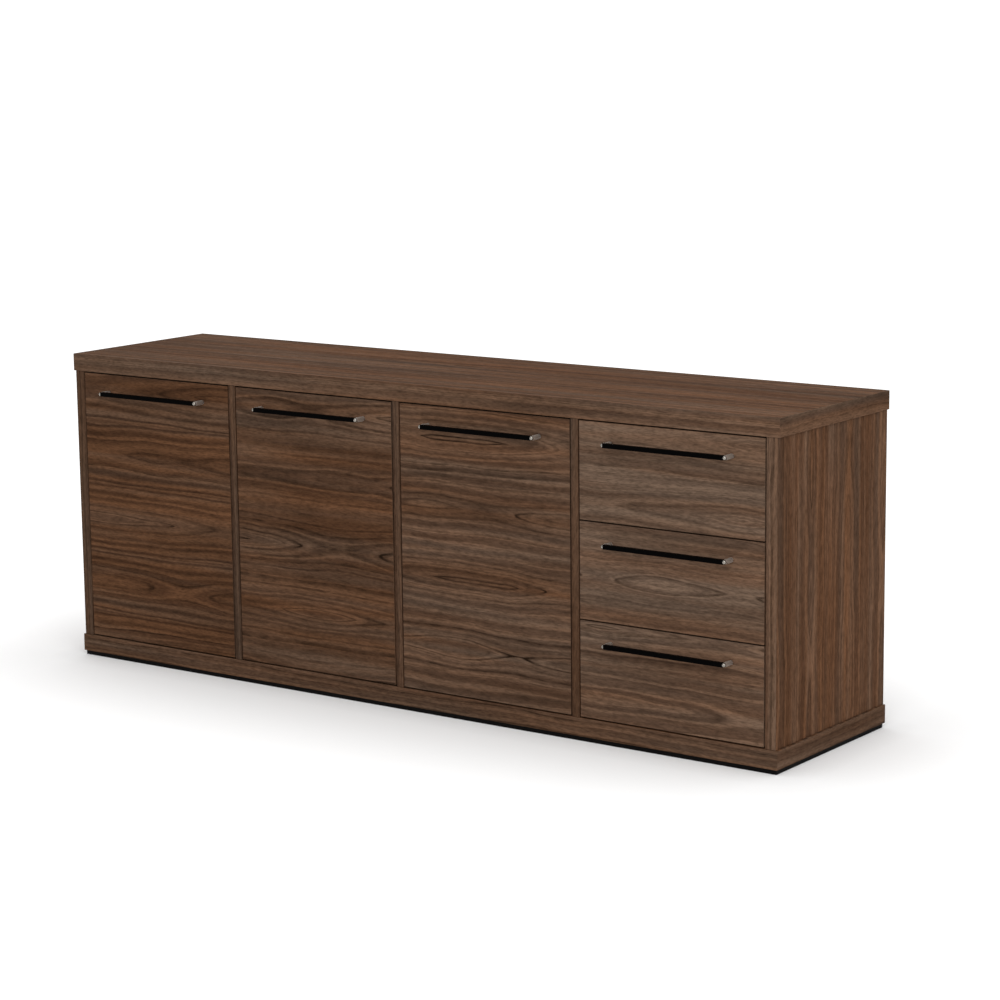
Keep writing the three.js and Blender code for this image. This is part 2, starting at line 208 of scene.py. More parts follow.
def cut_radius(tree, along, number, seed, crown, off_middle):
    # How far the cut dips into the log changes over some 400 mm along the leaf, and bends the rings
    # into arches and lenses about its middle.
    bough = add_node(tree, "ShaderNodeCombineXYZ", {0: along, 1: number, 2: seed}).outputs[0]
    bough = add_node(
        tree, "ShaderNodeVectorMath", {0: bough, 1: (2.6, 1.9, 4.7)}, operation="MULTIPLY",
    ).outputs[0]
    bough = add_node(
        tree, "ShaderNodeTexNoise", {"Vector": bough, "Scale": 1, "Detail": 1, "Roughness": 0.4},
    ).outputs[0]
    heart = add_node(
        tree, "ShaderNodeMapRange", {0: bough, 1: 0.3, 2: 0.7, 3: -ARCH_DEPTH, 4: ARCH_DEPTH},
    ).outputs[0]
    heart = add_node(tree, "ShaderNodeMath", {0: heart, 1: crown}, operation="MULTIPLY").outputs[0]
    flat = add_node(tree, "ShaderNodeCombineXYZ", {0: off_middle, 1: ARCH_TIP}).outputs[0]
    flat = add_node(tree, "ShaderNodeVectorMath", {0: flat}, operation="LENGTH").outputs["Value"]
    off = add_node(tree, "ShaderNodeMath", {0: off_middle}, operation="ABSOLUTE").outputs[0]
    bend = add_node(tree, "ShaderNodeMath", {0: off, 1: -1 / ARCH_REACH}, operation="MULTIPLY").outputs[0]
    bend = add_node(tree, "ShaderNodeMath", {0: bend}, operation="EXPONENT").outputs[0]
    radius = add_node(
        tree, "ShaderNodeMath", {0: heart, 1: bend, 2: flat}, operation="MULTIPLY_ADD",
    ).outputs[0]
    slant = add_node(tree, "ShaderNodeMath", {0: off, 1: flat}, operation="DIVIDE").outputs[0]
    return radius, slant


def growth_rings(tree, grain, seed, radius):
    # Rings of uneven width, with a wobble 140 mm long and 22 mm wide.
    wobble = add_node(
        tree, "ShaderNodeVectorMath", {0: grain, 1: (7.0, 45.0, 2.3)}, operation="MULTIPLY",
    ).outputs[0]
    wobble = add_node(
        tree, "ShaderNodeTexNoise", {"Vector": wobble, "Scale": 1, "Detail": 2, "Roughness": 0.4},
    ).outputs[0]
    wobble = add_node(tree, "ShaderNodeMath", {0: wobble, 1: 0.7}, operation="MULTIPLY").outputs[0]
    rings = add_node(
        tree, "ShaderNodeMath", {0: radius, 1: 1 / RING_WIDTH, 2: wobble}, operation="MULTIPLY_ADD",
    ).outputs[0]
    uneven = add_node(
        tree, "ShaderNodeMath", {0: seed, 1: 3.7, 2: rings}, operation="MULTIPLY_ADD",
    ).outputs[0]
    uneven = add_node(
        tree, "ShaderNodeTexNoise", {"W": uneven, "Scale": 0.45, "Detail": 1}, noise_dimensions="1D",
    ).outputs[0]
    return add_node(
        tree, "ShaderNodeMath", {0: uneven, 1: 1.5, 2: rings}, operation="MULTIPLY_ADD",
    ).outputs[0]


def ring_line(tree, along, number, seed, rings, slant):
    # Each year darkens slowly and ends in a line, which is sharper near the middle of the leaf.
    year = add_node(tree, "ShaderNodeMath", {0: rings}, operation="FLOOR").outputs[0]
    season = add_node(tree, "ShaderNodeMath", {0: rings}, operation="FRACT").outputs[0]
    start = add_node(
        tree, "ShaderNodeMapRange", {0: slant, 1: 0.0, 2: 0.8, 3: 0.76, 4: 0.42},
    ).outputs[0]
    full = add_node(
        tree, "ShaderNodeMapRange", {0: slant, 1: 0.0, 2: 0.8, 3: 0.92, 4: 0.84},
    ).outputs[0]
    late = add_node(
        tree, "ShaderNodeMapRange", {0: season, 1: start, 2: full}, interpolation_type="SMOOTHSTEP",
    ).outputs[0]
    end = add_node(
        tree, "ShaderNodeMapRange", {0: season, 1: full, 2: 1, 3: 1, 4: 0}, interpolation_type="SMOOTHSTEP",
    ).outputs[0]
    line = add_node(tree, "ShaderNodeMath", {0: late, 1: end}, operation="MULTIPLY").outputs[0]

    # Some years end harder than others, and every line fades in and out over some 40 mm.
    harshness = add_node(tree, "ShaderNodeCombineXYZ", {0: year, 1: number, 2: seed}).outputs[0]
    harshness = add_node(tree, "ShaderNodeTexWhiteNoise", {"Vector": harshness}).outputs[0]
    harshness = add_node(tree, "ShaderNodeMath", {0: harshness, 1: 2.5}, operation="POWER").outputs[0]
    harshness = add_node(tree, "ShaderNodeMapRange", {0: harshness, 3: 0.35, 4: 1.2}).outputs[0]
    line = add_node(tree, "ShaderNodeMath", {0: line, 1: harshness}, operation="MULTIPLY").outputs[0]
    fade = add_node(tree, "ShaderNodeCombineXYZ", {0: along, 1: year, 2: seed}).outputs[0]
    fade = add_node(
        tree, "ShaderNodeVectorMath", {0: fade, 1: (24.0, 7.3, 1.9)}, operation="MULTIPLY",
    ).outputs[0]
    fade = add_node(tree, "ShaderNodeTexNoise", {"Vector": fade, "Scale": 1, "Detail": 2}).outputs[0]
    fade = add_node(tree, "ShaderNodeMapRange", {0: fade, 1: 0.3, 2: 0.7, 3: 0.4, 4: 1.15}).outputs[0]
    line = add_node(
        tree, "ShaderNodeMath", {0: line, 1: fade}, operation="MULTIPLY", use_clamp=True,
    ).outputs[0]
    lines = add_node(tree, "ShaderNodeAttribute", attribute_name="lines").outputs["Fac"]
    line = add_node(tree, "ShaderNodeMath", {0: line, 1: lines}, operation="MULTIPLY").outputs[0]
    crisp = add_node(
        tree, "ShaderNodeMapRange", {0: slant, 1: 0.2, 2: 0.95, 3: 1.7, 4: 0.95},
    ).outputs[0]
    return add_node(
        tree, "ShaderNodeMath", {0: line, 1: crisp}, operation="MULTIPLY", use_clamp=True,
    ).outputs[0]


def band_colour(tree, grain, along, number, seed, warmth, radius, rings):
    # Bands some 20 mm wide, and fainter lines of every width, that follow the rings.
    band = add_node(tree, "ShaderNodeCombineXYZ", {0: along, 1: radius, 2: seed}).outputs[0]
    shifted = add_node(tree, "ShaderNodeCombineXYZ", {0: number, 2: number}).outputs[0]
    band = add_node(
        tree, "ShaderNodeVectorMath", {0: band, 1: (1.6, 55.0, 2.9), 2: shifted}, operation="MULTIPLY_ADD",
    ).outputs[0]
    band = add_node(tree, "ShaderNodeTexNoise", {"Vector": band, "Scale": 1, "Detail": 3}).outputs[0]
    faint = add_node(
        tree, "ShaderNodeMath", {0: seed, 1: 7.1, 2: rings}, operation="MULTIPLY_ADD",
    ).outputs[0]
    faint = add_node(
        tree, "ShaderNodeTexNoise", {"W": faint, "Scale": 1.2, "Detail": 2, "Roughness": 0.55},
        noise_dimensions="1D",
    ).outputs[0]
    band = add_node(tree, "ShaderNodeMix", {0: 0.6, 2: band, 3: faint}, data_type="FLOAT").outputs[0]
    band = add_node(
        tree, "ShaderNodeMapRange", {0: band, 1: 0.4, 2: 0.6}, interpolation_type="SMOOTHSTEP",
    ).outputs[0]

    # Red-brown comes and goes in stripes some 40 mm wide.
    red = add_node(
        tree, "ShaderNodeVectorMath", {0: grain, 1: (1.1, 26.0, 5.9)}, operation="MULTIPLY",
    ).outputs[0]
    red = add_node(tree, "ShaderNodeTexNoise", {"Vector": red, "Scale": 1, "Detail": 2}).outputs[0]
    red = add_node(tree, "ShaderNodeMapRange", {0: red, 1: 0.3, 2: 0.7, 3: -0.4, 4: 0.4}).outputs[0]
    red = add_node(
        tree, "ShaderNodeMath", {0: red, 1: warmth}, operation="ADD", use_clamp=True,
    ).outputs[0]
    pale = add_node(
        tree, "ShaderNodeMix", {0: red, 6: linear("#6d594a"), 7: linear("#6e4c35")}, data_type="RGBA",
    ).outputs[2]
    dark = add_node(
        tree, "ShaderNodeMix", {0: red, 6: linear("#58473b"), 7: linear("#573b29")}, data_type="RGBA",
    ).outputs[2]
    return add_node(tree, "ShaderNodeMix", {0: band, 6: dark, 7: pale}, data_type="RGBA").outputs[2]


def fibre_tone(tree, along, across, seed, tone_and_shade):
    # Fibres, streaks 2 to 8 mm wide and four times as long, and pores, dashes 2 mm wide and 12 mm long,
    # both coarser than real ones so that they show, under a slow change of tone some 70 mm wide.
    strand = add_node(tree, "ShaderNodeCombineXYZ", {0: along, 1: across, 2: seed}).outputs[0]
    fibre = add_node(
        tree, "ShaderNodeVectorMath", {0: strand, 1: (28, 120, 7.7)}, operation="MULTIPLY",
    ).outputs[0]
    fibre = add_node(
        tree, "ShaderNodeTexNoise", {"Vector": fibre, "Scale": 1, "Detail": 3, "Roughness": 0.65},
    ).outputs[0]
    tone = add_node(tree, "ShaderNodeMapRange", {0: fibre, 1: 0.25, 2: 0.75, 3: 0.78, 4: 1.22}).outputs[0]
    pore = add_node(
        tree, "ShaderNodeVectorMath", {0: strand, 1: (80, 420, 9.1)}, operation="MULTIPLY",
    ).outputs[0]
    pore = add_node(tree, "ShaderNodeTexNoise", {"Vector": pore, "Scale": 1, "Detail": 1}).outputs[0]
    pore = add_node(tree, "ShaderNodeMapRange", {0: pore, 1: 0.25, 2: 0.6, 3: 0.7, 4: 1.1}).outputs[0]
    tone = add_node(tree, "ShaderNodeMath", {0: tone, 1: pore}, operation="MULTIPLY").outputs[0]
    broad = add_node(
        tree, "ShaderNodeVectorMath", {0: strand, 1: (1.3, 14, 3.3)}, operation="MULTIPLY",
    ).outputs[0]
    broad = add_node(tree, "ShaderNodeTexNoise", {"Vector": broad, "Scale": 1, "Detail": 1}).outputs[0]
    broad = add_node(tree, "ShaderNodeMapRange", {0: broad, 1: 0.3, 2: 0.7, 3: 0.82, 4: 1.18}).outputs[0]
    tone = add_node(tree, "ShaderNodeMath", {0: tone, 1: broad}, operation="MULTIPLY").outputs[0]
    # The piece's tone multiplier scales it all: partly the wood's own tone, partly painted shade.
    tone = add_node(tree, "ShaderNodeMath", {0: tone, 1: tone_and_shade}, operation="MULTIPLY").outputs[0]
    return fibre, tone


def walnut_veneer():
    # Crown-cut walnut under satin lacquer: brown lines where each year's growth ends, drawn out into
    # arches and lenses at the middle of every leaf, with broad grey and red-brown bands between.
    material, tree, surface = new_material("walnut_veneer")
    grain = add_node(tree, "ShaderNodeAttribute", attribute_name="grain").outputs["Vector"]
    along, across, seed = add_node(tree, "ShaderNodeSeparateXYZ", {0: grain}).outputs
    leaf = add_node(tree, "ShaderNodeAttribute", attribute_name="leaf").outputs["Vector"]
    crown, warmth, tone_and_shade = add_node(tree, "ShaderNodeSeparateXYZ", {0: leaf}).outputs
    across, number, off_middle = leaf_place(tree, grain, across)
    radius, slant = cut_radius(tree, along, number, seed, crown, off_middle)
    rings = growth_rings(tree, grain, seed, radius)
    line = ring_line(tree, along, number, seed, rings, slant)
    colour = band_colour(tree, grain, along, number, seed, warmth, radius, rings)
    colour = add_node(
        tree, "ShaderNodeMix", {0: line, 6: colour, 7: linear("#24180f")}, data_type="RGBA",
    ).outputs[2]
    fibre, tone = fibre_tone(tree, along, across, seed, tone_and_shade)
    colour = add_node(tree, "ShaderNodeVectorMath", {0: colour, 3: tone}, operation="SCALE").outputs[0]
    satin = add_node(tree, "ShaderNodeMapRange", {0: fibre, 1: 0.25, 2: 0.75, 3: 0.72, 4: 0.6}).outputs[0]
    bump = add_node(tree, "ShaderNodeBump", {"Height": fibre, "Strength": 0.25, "Distance": 0.0002})
    surface.inputs["Specular IOR Level"].default_value = 0.01
    tree.links.new(colour, surface.inputs["Base Color"])
    tree.links.new(satin, surface.inputs["Roughness"])
    tree.links.new(bump.outputs[0], surface.inputs["Normal"])
    return material


def lay_veneer(
    piece, run, seed, middle=0.0, crown=1.0, warmth=0.5, tone_and_shade=1.0, lines=0.8, edging=0.35, edge=1.0,
):
    """Stores where each face lies in its veneer leaf. run is the axis of the grain, middle is where
    across the grain a leaf has its middle, and edges carry straight-grained edging of its own tone.
    The tone multiplier darkens the whole piece and edge darkens its edging further: each is partly the
    wood's own tone and partly painted shade, set piece by piece where less light falls."""
    mesh = piece.data
    low = [min(v.co[a] for v in mesh.vertices) for a in range(3)]
    size = [max(v.co[a] for v in mesh.vertices) - low[a] for a in range(3)]
    thin = size.index(min(size))
    for label, kind in (("grain", "FLOAT_VECTOR"), ("leaf", "FLOAT_VECTOR"), ("lines", "FLOAT")):
        mesh.attributes.new(label, kind, "CORNER")
    grain, leaf, drawn = (mesh.attributes[label].data for label in ("grain", "leaf", "lines"))
    for face in mesh.polygons:
        facing = max(range(3), key=lambda a: abs(face.normal[a]))
        flat = [a for a in range(3) if a != facing]
        along = run if run in flat else max(flat, key=lambda a: size[a])
        across = flat[0] if flat[1] == along else flat[1]
        broad = facing == thin
        side = 1 if face.normal[facing] > 0 else 2
        figure = seed + side * SIDE_SHIFT + facing * FACING_SHIFT
        for i in face.loop_indices:
            spot = mesh.vertices[mesh.loops[i].vertex_index].co
            offset = spot[across] - middle if broad else spot[across] - low[across] + EDGING_PLACE
            grain[i].vector = (spot[along], offset, figure)
            leaf[i].vector = (crown, warmth, tone_and_shade) if broad else (0.0, edging, tone_and_shade * edge)
            drawn[i].value = lines


walnut = walnut_veneer()
# The base slab is set darker than the top: partly its own tone, partly painted shade near the floor.
for name, seed, warmth, tone_and_shade, edge in (
    ("base_panel", 11, 0.65, 0.8, 1.0),
    ("top_panel", 12, 0.75, 0.875, 1.03),
):
    slab = eased_copy(name, SLAB_EASE, 3)
    slab = finish_piece(slab, f"{name}_veneered", walnut, "carcass", "walnut", name)
    lay_veneer(slab, 0, seed, middle=SLAB_MIDDLE, crown=0.3, warmth=warmth, tone_and_shade=tone_and_shade, edge=edge)

# Side panels and partitions: upright boards between the slabs, veneered with the grain upright and
# edged at the front. Rows of bored holes carry the shelf pins, and a groove holds the back panel.
BOARD_EASE = 0.0006
# The front edges of the left panel and the partitions are set darker than their faces: partly the edging's
# own tone, partly painted shade of the gaps beside them.
for name, seed, middle, tone_and_shade, edge in (
    ("left_side_panel", 121, 0.09, 0.93, 0.6),
    ("partition_1", 22, 0.03, 0.9, 0.7),
    ("partition_2", 23, -0.03, 0.9, 0.82),
    ("partition_3", 24, 0.0, 0.9, 0.64),
    ("right_side_panel", 425, -0.09, 0.93, 0.98),
):
    upright = eased_copy(name, BOARD_EASE)
    upright = finish_piece(upright, f"{name}_veneered", walnut, "carcass", "walnut", name)
    lay_veneer(upright, 2, seed, middle=middle, crown=0.8, warmth=0.72, tone_and_shade=tone_and_shade, lines=0.6, edge=edge)

# Back panel: one thin board, veneered with the grain level. It is slid into grooves all round before
# the top goes on.
BACK_EASE = 0.0004
back = eased_copy("back_panel", BACK_EASE)
back = finish_piece(back, "back_panel_veneered", walnut, "carcass", "walnut", "back_panel")
lay_veneer(back, 0, 31, crown=0.6, warmth=0.5, tone_and_shade=0.95, lines=0.6)

# Shelves: loose veneered boards, one in each cupboard, with the grain along their length. Each rests
# on four pins, two in each upright beside it.
SHELF_THICKNESS = 0.018
SHELF_END_CLEARANCE = 0.0005
PIN_REACH = 0.008
PIN_INSET = 0.04  # from the shelf's front or back edge to a pin
PIN_DROP = 0.002  # from the shelf's underside down to a pin's middle


def eased_board(low, high, ease, steps=2):
    shape = bmesh.new()
    bmesh.ops.create_cube(shape, size=1, matrix=Matrix.Translation((0.5, 0.5, 0.5)))
    for vertex in shape.verts:
        vertex.co = [low[a] + vertex.co[a] * (high[a] - low[a]) for a in range(3)]
    ease_edges(shape, shape.edges[:], ease, steps)
    return shape


pin_spots = []
for number in (1, 2, 3):
    name = f"shelf_{number}"
    low, high = (Vector(corner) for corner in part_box(name))
    inset = PIN_REACH + SHELF_END_CLEARANCE
    low.x, high.x, low.z = low.x + inset, high.x - inset, high.z - SHELF_THICKNESS
    shelf = eased_board(low, high, BOARD_EASE)
    shelf = finish_piece(shelf, f"{name}_veneered", walnut, "carcass", "walnut", name)
    lay_veneer(shelf, 0, 40 + number, crown=0.7, lines=0.6)
    for y in (low.y + PIN_INSET, high.y - PIN_INSET):
        pin_spots.append(((low.x - SHELF_END_CLEARANCE, y, low.z - PIN_DROP), (1, 0, 0)))
        pin_spots.append(((high.x + SHELF_END_CLEARANCE, y, low.z - PIN_DROP), (-1, 0, 0)))

# Shelf pins: turned steel pins, plated with nickel, four to a shelf. They are pushed into the bored
# holes up to a collar.
SHARP_ANGLE = math.radians(35)  # edges that turn more than this stay crisp


def plated_nickel():
    # Bright nickel plate over pressed steel: warm grey, with a soft mirror and faint 1 mm die marks.
    material, tree, surface = new_material("plated_nickel")
    place = add_node(tree, "ShaderNodeTexCoord").outputs["Object"]
    marks = add_node(
        tree, "ShaderNodeTexNoise", {"Vector": place, "Scale": 1 / 0.001, "Detail": 3},
    ).outputs[0]
    two_tone(tree, surface, marks, "#aaa69e", "#c9c6bf", 0.22, 0.36)
    surface.inputs["Metallic"].default_value = 1
    return material


def input_sockets(tree, **sizes):
    tree.interface.new_socket("Points", in_out="INPUT", socket_type="NodeSocketGeometry")
    for label, size in sizes.items():
        label = label.replace("_", " ").capitalize()
        socket = tree.interface.new_socket(label, in_out="INPUT", socket_type="NodeSocketFloat")
        socket.default_value = size
    tree.interface.new_socket("Metal", in_out="INPUT", socket_type="NodeSocketMaterial")
    tree.interface.new_socket("Geometry", in_out="OUTPUT", socket_type="NodeSocketGeometry")
    return tree.nodes.new("NodeGroupInput").outputs


def set_out(tree, given, part):
    """Sets one copy of part on every point, its Z axis the way the point faces."""
    facing = add_node(
        tree, "GeometryNodeInputNamedAttribute", {"Name": "facing"}, data_type="FLOAT_VECTOR",
    ).outputs[0]
    turn = add_node(tree, "FunctionNodeAlignRotationToVector", {"Vector": facing}, axis="Z").outputs[0]
    chance = add_node(
        tree, "FunctionNodeRandomValue", {2: 0.0, 3: math.pi, "Seed": 5}, data_type="FLOAT",
    ).outputs[1]
    spin = add_node(tree, "ShaderNodeCombineXYZ", {2: chance}).outputs[0]
    spin = add_node(tree, "FunctionNodeEulerToRotation", {0: spin}).outputs[0]
    turn = add_node(
        tree, "FunctionNodeRotateRotation", {0: turn, 1: spin}, rotation_space="LOCAL",
    ).outputs[0]
    copies = add_node(
        tree, "GeometryNodeInstanceOnPoints",
        {"Points": given["Points"], "Instance": part, "Rotation": turn},
    ).outputs[0]
    real = add_node(tree, "GeometryNodeRealizeInstances", {0: copies}).outputs[0]
    dressed = add_node(
        tree, "GeometryNodeSetMaterial", {"Geometry": real, "Material": given["Metal"]},
    ).outputs[0]
    add_node(tree, "NodeGroupOutput", {0: dressed})


def pin_tree():
    tree = bpy.data.node_groups.new("shelf_pin", "GeometryNodeTree")
    given = input_sockets(
        tree, pin_radius=0.0025, pin_length=0.016, collar_radius=0.0036, collar_thickness=0.0005,
    )
    pin = add_node(
        tree, "GeometryNodeMeshCylinder",
        {"Vertices": 20, "Radius": given["Pin radius"], "Depth": given["Pin length"]},
    ).outputs[0]
    collar = add_node(
        tree, "GeometryNodeMeshCylinder",
        {"Vertices": 24, "Radius": given["Collar radius"], "Depth": given["Collar thickness"]},
    ).outputs[0]
    half = add_node(
        tree, "ShaderNodeMath", {0: given["Collar thickness"], 1: 0.5}, operation="MULTIPLY",
    ).outputs[0]
    lift = add_node(tree, "ShaderNodeCombineXYZ", {2: half}).outputs[0]
    collar = add_node(tree, "GeometryNodeTransform", {"Geometry": collar, "Translation": lift}).outputs[0]
    both = add_node(tree, "GeometryNodeJoinGeometry", {0: pin})
    tree.links.new(collar, both.inputs[0])
    set_out(tree, given, both.outputs[0])
    return tree


def put_on_points(tree, name, spots, metal, body, slot, **sizes):
    mesh = bpy.data.meshes.new(name)
    mesh.from_pydata([spot for spot, _ in spots], [], [])
    facing = mesh.attributes.new("facing", "FLOAT_VECTOR", "POINT").data
    for i, (_, way) in enumerate(spots):
        facing[i].vector = way
    points = bpy.data.objects.new(name, mesh)
    bpy.context.scene.collection.objects.link(points)
    modifier = points.modifiers.new(tree.name, "NODES")
    modifier.node_group = tree
    for socket in tree.interface.items_tree:
        if socket.in_out == "INPUT" and socket.name == "Metal":
            modifier[socket.identifier] = metal
        elif socket.in_out == "INPUT" and socket.name in sizes:
            modifier[socket.identifier] = sizes[socket.name]
    ready = points.evaluated_get(bpy.context.evaluated_depsgraph_get())
    made = bpy.data.meshes.new_from_object(ready)
    points.modifiers.remove(modifier)
    points.data = made
    made.shade_smooth()
    made.set_sharp_from_angle(angle=SHARP_ANGLE)
    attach(points, body)


nickel = plated_nickel()
put_on_points(pin_tree(), "shelf_pins", pin_spots, nickel, "carcass", "hinge")

# Concealed hinges: pressed steel cups sunk in the doors and gooseneck arms on the panels, all plated
# with nickel, with the edges rolled over. Each cup and each plate is held by two screws.
CUP_EASE = 0.0003
STRIP_EASE = 0.0004          # the rolled edge of hinge arms and drawer runners
ROLLED_ANGLE = math.radians(40)
CUP_SCREW_INSET = 0.005      # from the end of a cup's wing to its screw
PLATE_THICKNESS = 0.0025
PLATE_SCREW_SETBACK = 0.022  # from the back of an arm to the screws of its plate
PLATE_SCREW_INSET = 0.0065   # from the end of a plate to its screw


def rolled_copy(node, ease):
    """A merged copy of a CAD node with every sharp edge rolled over, as pressing leaves it."""
    shape = merged_copy(node)
    mesh = bpy.data.meshes.new(node)
    shape.to_mesh(mesh)
    shape.free()
    rough = bpy.data.objects.new(node, mesh)
    bpy.context.scene.collection.objects.link(rough)
    bevel = rough.modifiers.new("rolled", "BEVEL")
    bevel.width = ease
    bevel.segments = 2
    bevel.limit_method = "ANGLE"
    bevel.angle_limit = ROLLED_ANGLE
    made = bpy.data.meshes.new_from_object(rough.evaluated_get(bpy.context.evaluated_depsgraph_get()))
    bpy.data.objects.remove(rough)
    made.shade_smooth()
    made.set_sharp_from_angle(angle=SHARP_ANGLE)
    shape = bmesh.new()
    shape.from_mesh(made)
    return shape


def screw_tree():
    """A domed screw head with a cross slot, cut flat underneath."""
    block_width, block_height = 0.02, 0.01
    tree = bpy.data.node_groups.new("pan_head_screw", "GeometryNodeTree")
    given = input_sockets(tree, head_radius=0.0035, head_height=0.0018, slot_width=0.0009)
    radius, height = given["Head radius"], given["Head height"]
    dome = add_node(
        tree, "GeometryNodeMeshUVSphere", {"Segments": 20, "Rings": 10, "Radius": 1.0},
    ).outputs[0]
    spread = add_node(tree, "ShaderNodeCombineXYZ", {0: radius, 1: radius, 2: height}).outputs[0]
    dome = add_node(tree, "GeometryNodeTransform", {"Geometry": dome, "Scale": spread}).outputs[0]
    below = add_node(
        tree, "GeometryNodeMeshCube", {"Size": (block_width, block_width, block_height)},
    ).outputs[0]
    below = add_node(
        tree, "GeometryNodeTransform", {"Geometry": below, "Translation": (0, 0, -block_height / 2)},
    ).outputs[0]
    reach = add_node(tree, "ShaderNodeMath", {0: radius, 1: 1.1}, operation="MULTIPLY").outputs[0]
    deep = add_node(tree, "ShaderNodeMath", {0: height, 1: 1.2}, operation="MULTIPLY").outputs[0]
    cross = add_node(tree, "ShaderNodeCombineXYZ", {0: reach, 1: given["Slot width"], 2: deep}).outputs[0]
    lift = add_node(tree, "ShaderNodeCombineXYZ", {2: height}).outputs[0]
    slit = add_node(tree, "GeometryNodeMeshCube", {"Size": cross}).outputs[0]
    slit = add_node(tree, "GeometryNodeTransform", {"Geometry": slit, "Translation": lift}).outputs[0]
    other = add_node(
        tree, "GeometryNodeTransform", {"Geometry": slit, "Rotation": (0, 0, math.pi / 2)},
    ).outputs[0]
    head = add_node(tree, "GeometryNodeMeshBoolean", {0: dome, 1: below}, operation="DIFFERENCE")
    tree.links.new(slit, head.inputs[1])
    tree.links.new(other, head.inputs[1])
    set_out(tree, given, head.outputs[0])
    return tree


screw = screw_tree()
plate_screws = []
for number in (1, 2, 3):
    cup_screws = []
    for level in ("lower", "upper"):
        cup, arm = (f"door_{number}_{level}_hinge_{part}" for part in ("cup", "arm"))
        finish_piece(rolled_copy(cup, CUP_EASE), f"{cup}_plated", nickel, f"door_{number}", "hinge", cup)
        finish_piece(rolled_copy(arm, STRIP_EASE), f"{arm}_plated", nickel, "carcass", "hinge", arm)
        low, high = (Vector(corner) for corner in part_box(cup))
        middle = (low + high) / 2
        for z in (low.z + CUP_SCREW_INSET, high.z - CUP_SCREW_INSET):
            cup_screws.append(((middle.x, high.y, z), (0, 1, 0)))
        low, high = (Vector(corner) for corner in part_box(arm))
        plate_face = low.x + PLATE_THICKNESS
        plate_middle = high.y - PLATE_SCREW_SETBACK
        for z in (low.z + PLATE_SCREW_INSET, high.z - PLATE_SCREW_INSET):
            plate_screws.append(((plate_face, plate_middle, z), (1, 0, 0)))
    put_on_points(screw, f"door_{number}_cup_screws", cup_screws, nickel, f"door_{number}", "hinge")
put_on_points(screw, "hinge_plate_screws", plate_screws, nickel, "carcass", "hinge")

# Doors: flush veneered boards with the grain level across them, cut from three different flitches,
# so that each has its own figure. Each hangs on its left edge.
FRONT_EASE = 0.0008
# Each door's tone is partly its own and partly painted light: the doors are set darker towards the left,
# where less light falls across the front, and the drawer fronts to their right lighter still.
for number, seed, middle, warmth, tone_and_shade in (
    (1, 111, 0.188, 0.85, 0.715),
    (2, 72, 0.184, 0.65, 0.75),
    (3, 133, 0.157, 0.5, 0.84),
):
    name = f"door_{number}"
    door = finish_piece(eased_copy(name, FRONT_EASE, 3), f"{name}_veneered", walnut, name, "walnut", name)
    lay_veneer(door, 0, seed, middle=middle, warmth=warmth, tone_and_shade=tone_and_shade, lines=0.75)

# Drawer runners: two-part channels of zinc-plated steel. The outer part is screwed to the panel and
# the inner one to the drawer box.
RUNNER_METAL = 0.0015
FRONT_SCREWS = (0.037, 0.165)  # from a runner's front end
BACK_SCREW = 0.03              # from its back end


def zinc_plated_steel():
    # Blue-white zinc on rolled strip: cool grey, half dull, with streaks 17 mm long and 1 mm wide that
    # run along the strip.
    material, tree, surface = new_material("zinc_plated_steel")
    place = add_node(tree, "ShaderNodeTexCoord").outputs["Object"]
    strip = add_node(tree, "ShaderNodeMapping", {"Vector": place, "Scale": (900, 60, 900)}).outputs[0]
    streak = add_node(tree, "ShaderNodeTexNoise", {"Vector": strip, "Scale": 1, "Detail": 3}).outputs[0]
    two_tone(tree, surface, streak, "#8d9195", "#b6babd", 0.32, 0.5)
    surface.inputs["Metallic"].default_value = 1
    return material


def web_screws(node, way):
    """Three screws that look one way along X, on the inner face of a channel's web."""
    low, high = (Vector(corner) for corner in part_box(node))
    web = (low.x if way > 0 else high.x) + way * RUNNER_METAL
    places = [low.y + place for place in FRONT_SCREWS] + [high.y - BACK_SCREW]
    return [((web, y, (low.z + high.z) / 2), (way, 0, 0)) for y in places]


zinc = zinc_plated_steel()
runner_screws = []
for number in (1, 2, 3):
    slide_screws = []
    for hand, way in (("left", 1), ("right", -1)):
        runner, slide = (f"drawer_{number}_{hand}_{part}" for part in ("runner", "slide"))
        finish_piece(rolled_copy(runner, STRIP_EASE), f"{runner}_plated", zinc, "carcass", "runner", runner)
        finish_piece(
            rolled_copy(slide, STRIP_EASE), f"{slide}_plated", zinc, f"drawer_{number}", "runner", slide,
        )
        runner_screws += web_screws(runner, way)
        slide_screws += web_screws(slide, -way)
    put_on_points(screw, f"drawer_{number}_slide_screws", slide_screws, zinc, f"drawer_{number}", "runner")
put_on_points(screw, "runner_screws", runner_screws, zinc, "carcass", "runner")

# Drawer boxes: particle board faced with a pale woven-print melamine, doweled at the corners, with a
# thin bottom in a groove.


